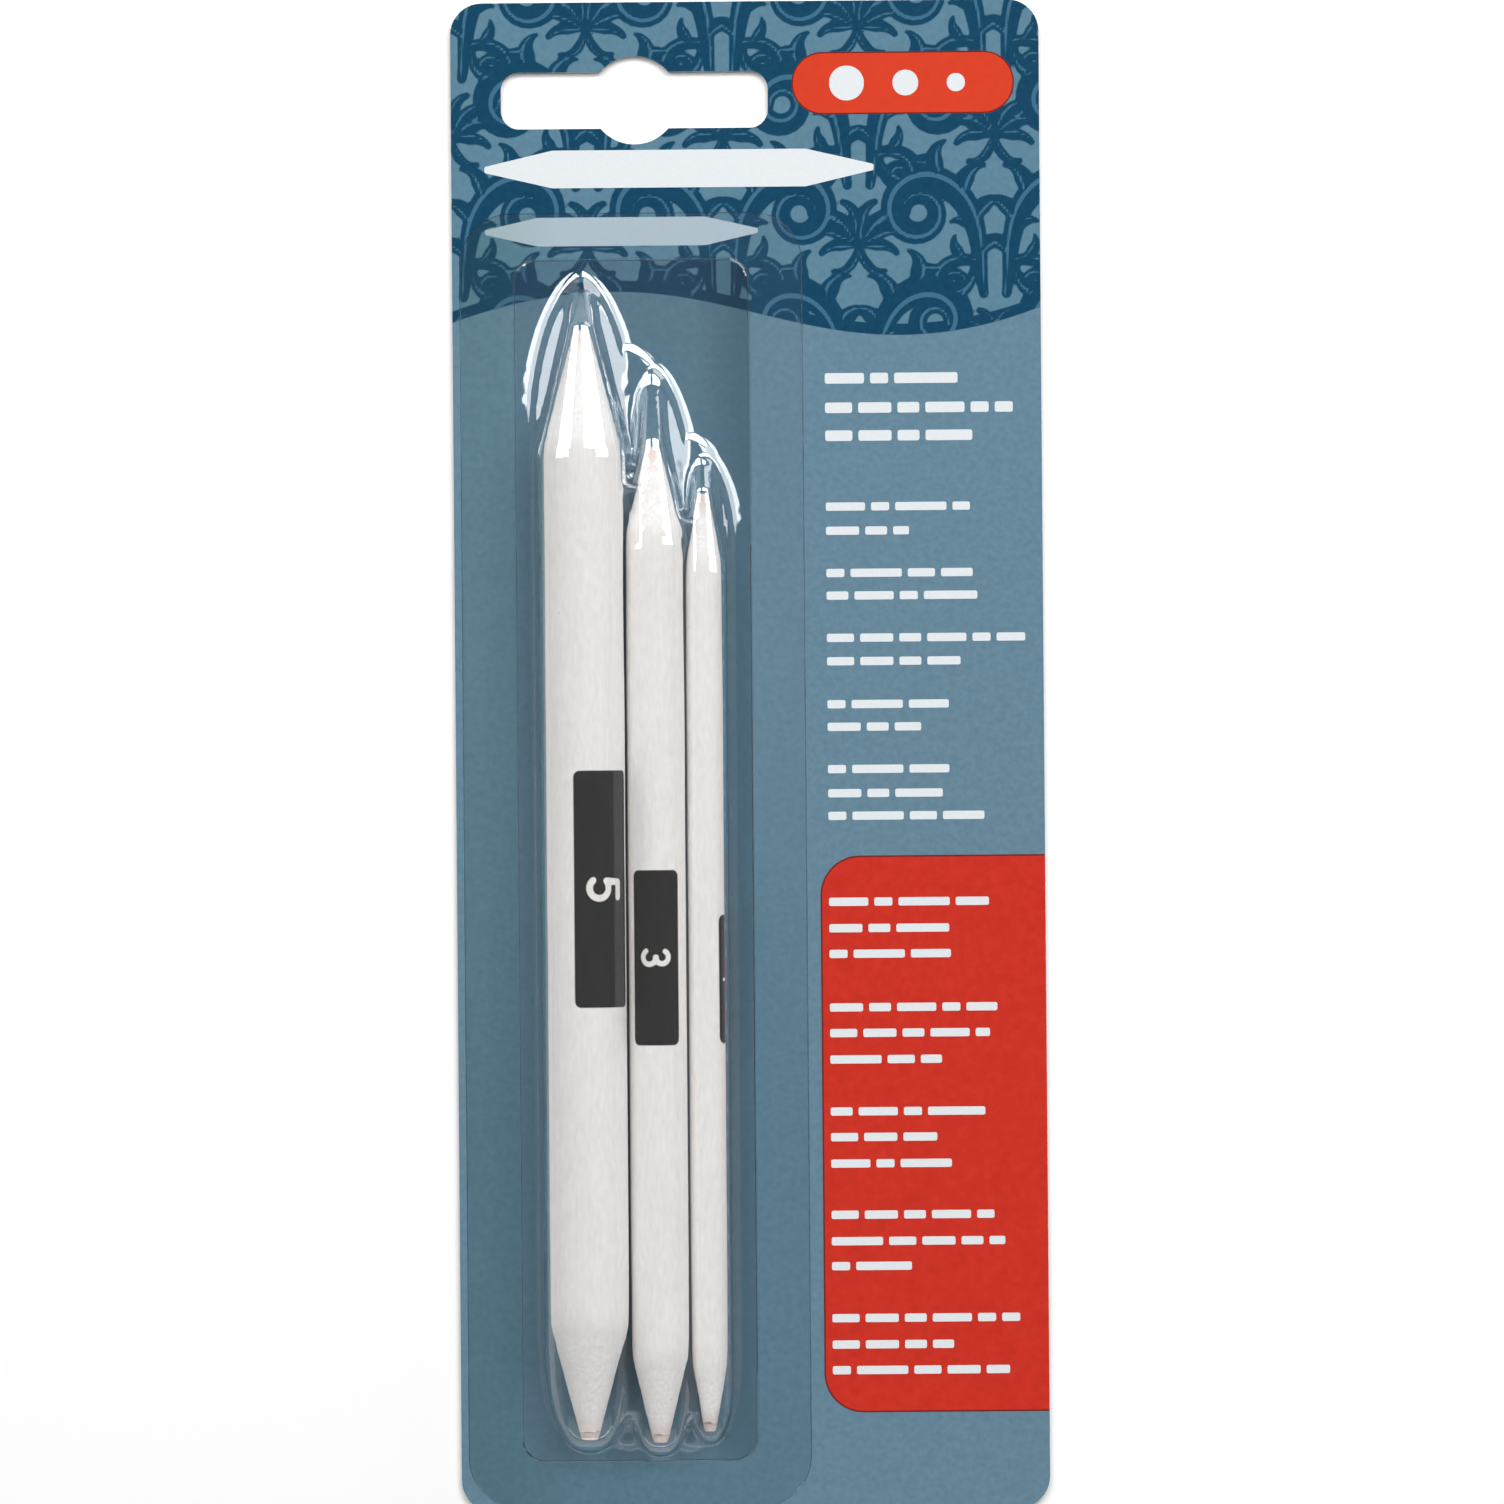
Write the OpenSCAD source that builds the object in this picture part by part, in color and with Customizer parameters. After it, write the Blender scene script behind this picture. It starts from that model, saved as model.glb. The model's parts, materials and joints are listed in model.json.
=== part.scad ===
// Set of three paper blending stumps in a hanging blister pack.
// The pack lies on its back: +X to the right and +Y to the top of the card's front, +Z out of it.
// The origin is the middle of the card's back. All sizes are in millimetres.

/* [Large stump] */
// Diameter of the large stump
large_d = 10.5; // [8:0.1:14]
// Length over both points
large_l = 146.4; // [110:0.2:170]
// Length of each sanded point
large_taper = 15.3; // [8:0.1:22]
// Diameter of the flat at each tip
large_tip_d = 2.2; // [1:0.1:2.8]
// Diameter of the tight roll in the middle
large_core_d = 2.8; // [1.6:0.1:4]
// Room in the pocket above the upper tip
large_head_room = 8.4; // [3:0.1:14]
// Height of the pocket's lower end above the lowest of the three
large_step = 0.5; // [0:0.1:4]

/* [Medium stump] */
// Diameter of the medium stump
medium_d = 7.6; // [6:0.1:10]
// Length over both points
medium_l = 131.4; // [100:0.2:150]
// Length of each sanded point
medium_taper = 11.4; // [6:0.1:18]
// Diameter of the flat at each tip
medium_tip_d = 1.9; // [0.8:0.1:2.4]
// Diameter of the tight roll in the middle
medium_core_d = 2.4; // [1.4:0.1:3]
// Room in the pocket above the upper tip
medium_head_room = 11.8; // [3:0.1:14]
// Height of the pocket's lower end above the lowest of the three
medium_step = 0; // [0:0.1:4]

/* [Small stump] */
// Diameter of the small stump
small_d = 5; // [4:0.1:7]
// Length over both points
small_l = 124; // [90:0.2:140]
// Length of each sanded point
small_taper = 9; // [5:0.1:14]
// Diameter of the flat at each tip
small_tip_d = 1.5; // [0.6:0.1:2]
// Diameter of the tight roll in the middle
small_core_d = 1.9; // [1:0.1:2.4]
// Room in the pocket above the upper tip
small_head_room = 6.5; // [3:0.1:14]
// Height of the pocket's lower end above the lowest of the three
small_step = 1.3; // [0:0.1:4]

/* [Wound paper] */
// Thickness of the soft sheet that is wound round each core, before it is pressed to size
sheet_t = 0.5; // [0.4:0.05:0.8]
// Paste line between two turns, and between the first turn and the core
paste_t = 0.06; // [0.05:0.01:0.1]
// Thickness of the sheet's skived edges, at the core and at the lap outside
lap_t = 0.2; // [0.15:0.01:0.3]
// Open gap at the sheet's two edges
edge_gap = 0.15; // [0.1:0.01:0.3]
// Direction of the lap's edge round the stump, where 0 is to the right and 270 to the card
lap_angle = 300; // [0:5:355]

/* [Blister] */
// Thickness of the clear film
film_t = 0.3; // [0.2:0.05:0.6]
// Gap between two stumps, and between a stump and the card
stump_gap = 0.25; // [0.15:0.05:0.6]
// Room between a stump and the arch above it
arch_room = 0.45; // [0.3:0.05:1.5]
// Room between the outer stumps and the skirt beside them
skirt_room = 2.6; // [1.6:0.1:5]
// Room in the pocket below the lower tips
heel_room = 1.5; // [1:0.1:5]
// How far the arches' ends stand back from the skirt's ends
end_setback = 0.8; // [0.4:0.1:0.9]
// Sharpness of the upper noses, where 1 is a plain ellipse
nose_point = 1.25; // [1:0.05:1.4]
// Drop, at most, of the straight runs that join neighbouring ends of the skirt
run_drop = 6; // [2:0.5:12]
// Height of the skirt above the card, inside
skirt_h = 2.2; // [1.2:0.1:3]
// Height of the low ledge round the pocket, inside
ledge_h = 0.8; // [0.4:0.1:1.1]
// Width of the ledge outside the skirt
ledge_margin = 0.95; // [0.5:0.05:3]
// Corner radius of the ledge
ledge_r = 3; // [1:0.1:6]
// Width of the sealed flange at the sides
flange_side = 7.1; // [4:0.1:12]
// Width of the sealed flange at the ends
flange_end = 6.2; // [4:0.1:12]
// Corner radius of the flange
flange_r = 6.8; // [2:0.1:12]

/* [Card] */
// Thickness of the board
card_t = 0.6; // [0.4:0.05:1.2]
// Corner radius of the board
card_r = 4.2; // [1:0.1:8]
// Bare board left of the flange
card_left = 0.95; // [0.5:0.05:10]
// Bare board below the flange
card_foot = 0.4; // [0.2:0.1:10]
// Width of the printed column right of the flange
column_w = 31.55; // [10:0.05:50]
// Height of the header above the flange
header_h = 27.9; // [22:0.1:50]

/* [Hang slot] */
// Width of the slot
slot_w = 35.4; // [28:0.1:40]
// Height of the slot
slot_h = 7.5; // [5:0.1:9]
// Corner radius of the slot
slot_r = 2.4; // [1:0.1:2.5]
// Diameter of the round relief in the slot's middle
relief_d = 11.7; // [10:0.1:14]
// Distance from the card's upper edge to the slot's middle
slot_drop = 13; // [9:0.1:16]
// Shift of the slot to the right of the pocket's middle
slot_shift = 0.65; // [-3:0.05:3]

/* [Hidden] */
$fn = 96;
NOSE_STEPS = 12;
CUT = 1;
RUN_INSET = 0.2;

// Per stump, from left to right: large, medium, small.
stump_d = [large_d, medium_d, small_d];
stump_l = [large_l, medium_l, small_l];
taper_l = [large_taper, medium_taper, small_taper];
tip_d = [large_tip_d, medium_tip_d, small_tip_d];
core_d = [large_core_d, medium_core_d, small_core_d];
head_room = [large_head_room, medium_head_room, small_head_room];
pocket_step = [large_step, medium_step, small_step];
ALL_STUMPS = [0, 1, 2];

// The row of stumps sets the pocket, the pocket the flange, and the flange the card.
row_w = stump_d[0] + stump_d[1] + stump_d[2] + 2 * stump_gap;
skirt_w = row_w + 2 * (skirt_room + film_t);
ledge_w = skirt_w + 2 * ledge_margin;
flange_w = ledge_w + 2 * flange_side;
card_w = card_left + flange_w + column_w;

// Heights above the card's lower edge, from the flange up to the card's upper edge.
flange_low = card_foot;
ledge_low = flange_low + flange_end;
pocket_low = [for (i = ALL_STUMPS) ledge_low + ledge_margin + pocket_step[i]];
tip_low = [for (i = ALL_STUMPS) pocket_low[i] + film_t + heel_room];
tip_high = [for (i = ALL_STUMPS) tip_low[i] + stump_l[i]];
pocket_high = [for (i = ALL_STUMPS) tip_high[i] + head_room[i] + film_t];
ledge_high = max(pocket_high) + ledge_margin;
flange_high = ledge_high + flange_end;
card_h = flange_high + header_h;

// Places in the part's own frame.
card_x = -card_w / 2;
card_y = -card_h / 2;
pocket_x = card_x + card_left + flange_w / 2;
stump_x = [
    pocket_x - row_w / 2 + stump_d[0] / 2,
    pocket_x - row_w / 2 + stump_d[0] + stump_gap + stump_d[1] / 2,
    pocket_x + row_w / 2 - stump_d[2] / 2
];
stump_z = [for (i = ALL_STUMPS) card_t + stump_gap + stump_d[i] / 2];

// Flat shapes

module rounded_rect(w, h, r) {
    square([w - 2 * r, h], center = true);
    square([w, h - 2 * r], center = true);
    for (x = [-1, 1], y = [-1, 1])
        translate([x * (w / 2 - r), y * (h / 2 - r)]) circle(r);
}

module hang_slot() {
    rounded_rect(slot_w, slot_h, slot_r);
    circle(d = relief_d);
}

// Right half of a long pocket from y = 0 to y = l, with an elliptic lower nose
// and a bullet-shaped upper one.
function half_pocket(half_w, l, low_nose, high_nose) = concat(
    [for (k = [0 : NOSE_STEPS]) let (t = 90 * k / NOSE_STEPS)
        [half_w * sin(t), low_nose * (1 - cos(t))]],
    [for (k = [0 : NOSE_STEPS]) let (t = 90 * k / NOSE_STEPS)
        [half_w * pow(cos(t), nose_point), l - high_nose * (1 - sin(t))]]
);

function mirrored(points) = [for (p = points) [-p[0], p[1]]];

// Board

module backing_card() {
    color("steelblue")
        linear_extrude(card_t)
            difference() {
                rounded_rect(card_w, card_h, card_r);
                translate([pocket_x + slot_shift, -card_y - slot_drop]) hang_slot();
            }
}

// Clear film

// Half outline of the room over stump i, with its noses over the sanded points.
// inset is taken off its two ends, and half_w is its half width.
function room_outline(i, half_w, inset) =
    let (low = pocket_low[i] + inset, high = pocket_high[i] - inset)
    half_pocket(half_w, high - low, tip_low[i] + taper_l[i] - low,
        high - tip_high[i] + taper_l[i]);

module room_plan(i, half_w, inset)
    translate([stump_x[i], card_y + pocket_low[i] + inset]) {
        polygon(room_outline(i, half_w, inset));
        polygon(mirrored(room_outline(i, half_w, inset)));
    }

// The skirt's straight runs between the ends of rooms i and i + 1.
module run_plan(i, inset) {
    low = max(pocket_low[i], pocket_low[i + 1]) - run_drop;
    high = min(pocket_high[i], pocket_high[i + 1]) + run_drop;
    function low_end(k) = max(pocket_low[k], low) + inset;
    function high_end(k) = min(pocket_high[k], high) - inset;
    translate([0, card_y])
        polygon([
            [stump_x[i], low_end(i)], [stump_x[i + 1], low_end(i + 1)],
            [stump_x[i + 1], high_end(i + 1)], [stump_x[i], high_end(i)]
        ]);
}

module skirt_form(grow, inset)
    translate([0, 0, card_t - CUT]) linear_extrude(skirt_h + grow + CUT) {
        for (i = ALL_STUMPS) room_plan(i, stump_d[i] / 2 + skirt_room + grow, inset);
        for (i = [0, 1]) run_plan(i, inset + RUN_INSET);
    }

module arch_form(i, half_w, inset) {
    translate([0, 0, card_t - CUT])
        linear_extrude(stump_z[i] - card_t + CUT) room_plan(i, half_w, inset);
    translate([stump_x[i], card_y + pocket_low[i] + inset, stump_z[i]])
        rotate([-90, 0, 0]) rotate([0, 0, 180])
            rotate_extrude(angle = 180) polygon(room_outline(i, half_w, inset));
}

// The space under the film, and with grow = film_t the film's outside.
module pocket_form(grow) {
    shrink = film_t - grow;
    ledge_h_whole = ledge_high - ledge_low;
    translate([pocket_x, card_y + ledge_low + ledge_h_whole / 2, card_t - CUT])
        linear_extrude(ledge_h + grow + CUT)
            rounded_rect(ledge_w - 2 * shrink, ledge_h_whole - 2 * shrink, ledge_r - shrink);
    skirt_form(grow, shrink);
    for (i = ALL_STUMPS) arch_form(i, stump_d[i] / 2 + arch_room + grow, end_setback + shrink);
}

module blister() {
    color([0.8, 0.9, 0.95, 0.35])
        difference() {
            intersection() {
                union() {
                    pocket_form(film_t);
                    translate([pocket_x, card_y + (flange_low + flange_high) / 2, card_t])
                        linear_extrude(film_t)
                            rounded_rect(flange_w, flange_high - flange_low, flange_r);
                }
                translate([card_x - CUT, card_y - CUT, card_t])
                    cube([card_w + 2 * CUT, card_h + 2 * CUT, max(stump_d) * 2]);
            }
            pocket_form(0);
        }
}

// Stumps

// Half outline of a stump that is sanded to a blunt point at both ends.
module sanded_outline(i) {
    r = stump_d[i] / 2;
    polygon([
        [0, 0], [tip_d[i] / 2, 0], [r, taper_l[i]],
        [r, stump_l[i] - taper_l[i]], [tip_d[i] / 2, stump_l[i]], [0, stump_l[i]]
    ]);
}

// Half of a thin ring on the upper or the lower side, centred at x.
module half_ring(x, r, upper)
    intersection() {
        translate([x, 0])
            difference() {
                circle(r + paste_t / 2);
                circle(r - paste_t / 2);
            }
        translate([x - r - CUT, upper ? 0 : -r - CUT]) square([2 * (r + CUT), r + CUT]);
    }

// Wedge with its point on the stump's axis, as wide as the sheet's open edge at radius r.
// It lies above the x axis, or below it.
module edge_wedge(r, upper) {
    reach = 2 * r;
    half_open = asin(edge_gap / r / 2);
    rotate(upper ? half_open : -half_open)
        polygon([
            [0, 0],
            reach * [cos(half_open), -sin(half_open)],
            reach * [cos(half_open), sin(half_open)]
        ]);
}

// Section of the paste line, one spiral of half turns from the core to the lap.
// The upper half turns are centred on the stump, the lower ones half a pitch beside it.
module paste_line(i) {
    first_r = core_d[i] / 2 + paste_t + lap_t;
    last_r = stump_d[i] / 2 - lap_t;
    turns = max(1, round((last_r - first_r) / (sheet_t + paste_t)));
    pitch = (last_r - first_r) / turns;
    rotate(lap_angle) {
        intersection() {
            edge_wedge(first_r, false);
            circle(first_r + paste_t / 2);
        }
        for (k = [0 : turns - 1]) {
            half_ring(0, first_r + k * pitch, true);
            half_ring(pitch / 2, first_r + (k + 0.5) * pitch, false);
        }
        difference() {
            edge_wedge(last_r, true);
            circle(last_r - paste_t / 2);
        }
    }
}

module in_place(i) {
    translate([stump_x[i], card_y + tip_low[i], stump_z[i]]) rotate([-90, 0, 0]) children();
}

module stump_core(i) {
    color([0.87, 0.80, 0.74])
        in_place(i)
            rotate_extrude()
                intersection() {
                    sanded_outline(i);
                    square([core_d[i] / 2, stump_l[i]]);
                }
}

module stump_sheet(i) {
    color([0.93, 0.92, 0.89])
        in_place(i)
            difference() {
                rotate_extrude() sanded_outline(i);
                translate([0, 0, -CUT]) {
                    cylinder(d = core_d[i] + 2 * paste_t, h = stump_l[i] + 2 * CUT);
                    linear_extrude(stump_l[i] + 2 * CUT) mirror([0, 1]) paste_line(i);
                }
            }
}

backing_card();
blister();
stump_core(0);  // large_stump_core
stump_sheet(0);  // large_stump_sheet
stump_core(1);  // medium_stump_core
stump_sheet(1);  // medium_stump_sheet
stump_core(2);  // small_stump_core
stump_sheet(2);  // small_stump_sheet
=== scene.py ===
import json
import math

import bmesh
import bpy
import numpy as np
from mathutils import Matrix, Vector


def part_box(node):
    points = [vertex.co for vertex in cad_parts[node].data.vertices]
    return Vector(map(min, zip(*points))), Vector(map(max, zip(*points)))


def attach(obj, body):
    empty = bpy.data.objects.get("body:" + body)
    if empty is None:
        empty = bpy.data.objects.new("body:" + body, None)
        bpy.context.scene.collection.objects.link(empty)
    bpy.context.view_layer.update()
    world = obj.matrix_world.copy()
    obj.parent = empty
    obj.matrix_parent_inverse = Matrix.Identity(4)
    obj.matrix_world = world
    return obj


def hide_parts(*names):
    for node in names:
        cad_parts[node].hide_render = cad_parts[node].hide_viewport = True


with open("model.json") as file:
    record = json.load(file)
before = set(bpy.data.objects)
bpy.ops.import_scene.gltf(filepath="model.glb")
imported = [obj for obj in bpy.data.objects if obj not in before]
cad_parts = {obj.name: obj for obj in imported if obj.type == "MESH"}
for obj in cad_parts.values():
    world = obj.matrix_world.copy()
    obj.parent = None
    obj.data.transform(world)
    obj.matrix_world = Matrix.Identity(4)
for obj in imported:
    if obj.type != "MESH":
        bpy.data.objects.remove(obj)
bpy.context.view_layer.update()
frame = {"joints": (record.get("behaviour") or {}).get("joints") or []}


# Backing card.
# One sheet of 0.6 mm white-lined board, coated and printed on its face and left bare behind.
# A steel die cuts its round corners and the hang slot, so its edges show the white pulp.
MM = 0.001
CARD_LOW, CARD_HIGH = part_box("backing_card")
CARD_TOP = CARD_HIGH.z
CARD_CORNER = 4.2 * MM
SLOT_CENTRE = (-14.65 * MM, CARD_HIGH.y - 13.0 * MM)
SLOT_SIZE = (35.4 * MM, 7.5 * MM)
SLOT_CORNER = 2.4 * MM
SLOT_RELIEF = 11.7 * MM
CUT_PAST = 1.0 * MM
HEADER_FOOT = 53.0 * MM
PRINT_CELL = 0.36 * MM


def linear(code):
    """The scene-linear colour of an sRGB hex code."""
    parts = [int(code[i:i + 2], 16) / 255 for i in (1, 3, 5)]
    return tuple(c / 12.92 if c <= 0.04045 else ((c + 0.055) / 1.055) ** 2.4 for c in parts) + (1.0,)


def add_node(tree, kind, inputs=None, **settings):
    """Adds one node with its settings; each input is a value or another node's output."""
    made = tree.nodes.new(kind)
    for name, value in settings.items():
        setattr(made, name, value)
    for name, value in (inputs or {}).items():
        if isinstance(value, bpy.types.NodeSocket):
            tree.links.new(value, made.inputs[name])
        else:
            made.inputs[name].default_value = value
    return made


def new_material(name):
    """An empty material with its surface shader, as (material, node tree, shader)."""
    material = bpy.data.materials.new(name)
    material.use_nodes = True
    return material, material.node_tree, material.node_tree.nodes["Principled BSDF"]


def start_piece(name):
    """Names the primitive just added and opens it in edit mode, all selected."""
    piece = bpy.context.object
    piece.name = name
    piece.data.name = name
    bpy.ops.object.mode_set(mode="EDIT")
    return piece


def select_upright_edges(piece, right_limit=math.inf):
    """Selects the edges of the open piece that stand along Z, left of a limit."""
    mesh = bmesh.from_edit_mesh(piece.data)
    bpy.ops.mesh.select_all(action="DESELECT")
    bpy.ops.mesh.select_mode(type="EDGE")
    for edge in mesh.edges:
        one, two = (v.co for v in edge.verts)
        edge.select_set(abs(one.z - two.z) > 0.9 * (one - two).length and one.x < right_limit)
    bmesh.update_edit_mesh(piece.data)


def set_in_place(piece):
    """Closes edit mode and puts the piece's place into its mesh."""
    bpy.ops.object.mode_set(mode="OBJECT")
    bpy.ops.object.transform_apply(location=True, rotation=True, scale=True)
    return piece


def round_block(name, low, high, corner, steps=10, left_only=False):
    """A block between two corner points with its upright edges rounded, or only the left ones."""
    bpy.ops.object.select_all(action="DESELECT")
    middle = [(a + b) / 2 for a, b in zip(low, high)]
    bpy.ops.mesh.primitive_cube_add(size=1, location=middle)
    bpy.context.object.scale = [b - a for a, b in zip(low, high)]
    bpy.ops.object.transform_apply(location=True, rotation=True, scale=True)
    piece = start_piece(name)
    select_upright_edges(piece, middle[0] if left_only else math.inf)
    bpy.ops.mesh.bevel(offset=corner, segments=steps, affect="EDGES")
    return set_in_place(piece)


def cut(piece, tool, operation):
    """Cuts a piece with a tool body, which is then thrown away."""
    bpy.context.view_layer.objects.active = piece
    modifier = piece.modifiers.new("cut", "BOOLEAN")
    modifier.operation = operation
    modifier.solver = "EXACT"
    modifier.object = tool
    bpy.ops.object.modifier_apply(modifier=modifier.name)
    bpy.data.objects.remove(tool)


bpy.ops.object.select_all(action="DESELECT")
card_size = CARD_HIGH - CARD_LOW
header_h = CARD_HIGH.y - HEADER_FOOT
columns = round(card_size.x / PRINT_CELL)
rows = round(header_h / PRINT_CELL)
bpy.ops.mesh.primitive_grid_add(
    x_subdivisions=columns, y_subdivisions=rows, size=1,
    location=(0, HEADER_FOOT + header_h / 2, CARD_TOP))
bpy.context.object.scale = (card_size.x, header_h, 1)
bpy.ops.object.transform_apply(location=True, rotation=True, scale=True)
card = start_piece("printed_card")
for vert in bmesh.from_edit_mesh(card.data).verts:
    if vert.co.y < HEADER_FOOT + 0.1 * PRINT_CELL:
        vert.co.y = CARD_LOW.y
set_in_place(card)
board = card.modifiers.new("board", "SOLIDIFY")
board.thickness = card_size.z
board.offset = -1
bpy.ops.object.modifier_apply(modifier=board.name)
outline = round_block(
    "outline", (CARD_LOW.x, CARD_LOW.y, -CUT_PAST), (CARD_HIGH.x, CARD_HIGH.y, CARD_TOP + CUT_PAST),
    CARD_CORNER)
cut(card, outline, "INTERSECT")
slot_x, slot_y = SLOT_CENTRE
slot_low = (slot_x - SLOT_SIZE[0] / 2, slot_y - SLOT_SIZE[1] / 2, -CUT_PAST)
slot_high = (slot_x + SLOT_SIZE[0] / 2, slot_y + SLOT_SIZE[1] / 2, CARD_TOP + CUT_PAST)
cut(card, round_block("slot", slot_low, slot_high, SLOT_CORNER), "DIFFERENCE")
bpy.ops.mesh.primitive_cylinder_add(
    vertices=96, radius=SLOT_RELIEF / 2, depth=4 * CUT_PAST, location=(slot_x, slot_y, 0))
cut(card, bpy.context.object, "DIFFERENCE")

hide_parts("backing_card")
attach(card, "pack")

# Scroll print of the header, drawn in mm: one set of leafy scrolls, mirrored and stepped over the
# field like any damask. Each point of the card's face keeps its distance to the ink, for crisp edges.
SCROLL_HALF = 18.0
SCROLL_RISE = 29.0
SCROLL_SHIFT = (3.0, -62.0)
WAVE_CREST, WAVE_TROUGH = (-17.4, 61.6), (20.4, 55.6)
WAVE_ENDS = (57.7, 59.2)
WAVE_SPANS = (21.5, 18.6)
STROKE_FAR = 9.0
WIDEST_AT = 0.45
REPEAT_MARGIN = 2.0
LEAF_END = 0.5
LEAF_CURL = (2, 34)
LEAF_ROWS = 14
VEIN_OFFSET = 0.35
VEIN_SHARE = 0.16
VEIN_FROM = 0.5
VEIN_INSET = 0.15


def scroll(x, y, heading, length, bend, width, steps=16):
    """One scroll as rows of x, y and half width, in mm, with its heading at each row.
    It bends by degrees per mm, from first to last, and has a width at start, middle and end."""
    share = np.linspace(0, 1, steps)
    angle = np.radians(heading + length * (bend[0] * share + (bend[1] - bend[0]) * share ** 2 / 2))
    step = length / (steps - 1)
    middle = (angle[1:] + angle[:-1]) / 2
    px = x + np.concatenate([[0], np.cumsum(np.cos(middle))]) * step
    py = y + np.concatenate([[0], np.cumsum(np.sin(middle))]) * step
    half = np.interp(share, [0, WIDEST_AT, 1], width) / 2
    return np.stack([px, py, half], axis=1), angle


def leaves(line, angle, side, spots, length, width, lean=38):
    """Curled leaves along one side of a scroll, at (place, size) spots."""
    made = []
    for share, size in spots:
        row = int(share * (len(line) - 1))
        x, y, half = line[row]
        heading = math.degrees(angle[row]) + side * lean
        bend = (LEAF_CURL[0] * side, LEAF_CURL[1] * side / size)
        widths = (max(half, LEAF_END), width * size, LEAF_END)
        made.append(scroll(x, y, heading, length * size, bend, widths, LEAF_ROWS)[0])
    return made


def scroll_set():
    """The drawn half of one repeat: a main scroll, a counter scroll and a palmette on the axis."""
    main, heading = scroll(1.5, -1.0, 80, 41, (3.0, -29), (1.3, 4.2, 1.8), 48)
    made = [main]
    outer = [(0.14, 0.9), (0.235, 1.0), (0.33, 1.1), (0.425, 1.15), (0.52, 1.05), (0.62, 0.85)]
    made += leaves(main, heading, 1, outer, 5.6, 2.3)
    made += leaves(main, heading, -1, [(0.10, 0.8), (0.22, 0.95)], 3.8, 1.7)
    made += leaves(main, heading, -1, [(0.50, 0.8), (0.60, 0.7)], 2.6, 1.2, 50)
    counter, heading = scroll(1.6, 3.0, 20, 15.5, (-4, -50), (1.3, 2.3, 1.4), 34)
    made.append(counter)
    made += leaves(counter, heading, 1, [(0.16, 0.9), (0.38, 1.0)], 4.2, 1.9)
    for lift, length, width in ((90, 6.6, 2.0), (62, 6.8, 2.1), (34, 6.2, 2.0), (4, 5.2, 1.8)):
        made.append(scroll(0.1, 20.0, lift, length, (4, -26), (0.6, width, 0.9))[0])
    made.append(scroll(0.1, 19.6, -72, 5.0, (0, 36), (0.9, 1.4, 0.8))[0])
    return made


def stroke_field(x, y, strokes):
    """Per point, in mm: distance to the nearest stroke's edge, offset from its middle, half width."""
    best, offset, width = np.full(x.shape, STROKE_FAR), np.zeros(x.shape), np.ones(x.shape)
    for line in strokes:
        for start, stop in zip(line[:-1], line[1:]):
            run = stop[:2] - start[:2]
            length = math.hypot(*run) + 1e-9
            across_x, across_y = x - start[0], y - start[1]
            share = np.clip((across_x * run[0] + across_y * run[1]) / length ** 2, 0, 1)
            half = start[2] + share * (stop[2] - start[2])
            edge = np.hypot(across_x - share * run[0], across_y - share * run[1]) - half
            nearer = edge < best
            best = np.where(nearer, edge, best)
            offset = np.where(nearer, (run[0] * across_y - run[1] * across_x) / length, offset)
            width = np.where(nearer, half, width)
    return best, offset, width


def scroll_repeats():
    """The drawn set with its stepped twin and the repeats above and below."""
    made = []
    for line in scroll_set():
        twin = line * (-1, 1, 1) + (SCROLL_HALF, SCROLL_RISE / 2, 0)
        for copy in (line, twin):
            for rise in (-SCROLL_RISE, 0, SCROLL_RISE):
                moved = copy + (0, rise, 0)
                rows = moved[:, 1]
                if rows.max() > -REPEAT_MARGIN and rows.min() < SCROLL_RISE + REPEAT_MARGIN:
                    made.append(moved)
    return made


def hem_line(x):
    """Height in mm of the wavy lower edge of the header."""
    (crest_x, crest), (trough_x, trough) = WAVE_CREST, WAVE_TROUGH
    share = np.clip((x - crest_x) / (trough_x - crest_x), 0, 1)
    middle = crest + (trough - crest) * (1 - np.cos(math.pi * share)) / 2
    left = crest - (crest - WAVE_ENDS[0]) * ((x - crest_x) / WAVE_SPANS[0]) ** 2
    right = trough + (WAVE_ENDS[1] - trough) * ((x - trough_x) / WAVE_SPANS[1]) ** 2
    return np.where(x < crest_x, left, np.where(x > trough_x, right, middle))


def keep_values(piece, name, values):
    """Stores one number per vertex for a material to read."""
    layer = piece.data.attributes.new(name, "FLOAT", "POINT")
    layer.data.foreach_set("value", np.asarray(values, np.float32))


def points_mm(piece):
    """The piece's vertices in mm, as columns."""
    co = np.empty(len(piece.data.vertices) * 3, np.float32)
    piece.data.vertices.foreach_get("co", co)
    return co.reshape(-1, 3).astype(float).T / MM


card_x, card_y, _ = points_mm(card)
hem = card_y - hem_line(card_x)
fold_x = np.abs((card_x + SCROLL_SHIFT[0] + SCROLL_HALF) % (2 * SCROLL_HALF) - SCROLL_HALF)
fold_y = (card_y + SCROLL_SHIFT[1]) % SCROLL_RISE
edge, offset, width = stroke_field(fold_x, fold_y, scroll_repeats())
vein = np.maximum(np.abs(offset / width - VEIN_OFFSET) * width - VEIN_SHARE * width, VEIN_FROM - width)
keep_values(card, "hem_mm", hem)
keep_values(card, "scroll_mm", edge)
keep_values(card, "vein_mm", np.maximum(vein, edge + VEIN_INSET))

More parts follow.
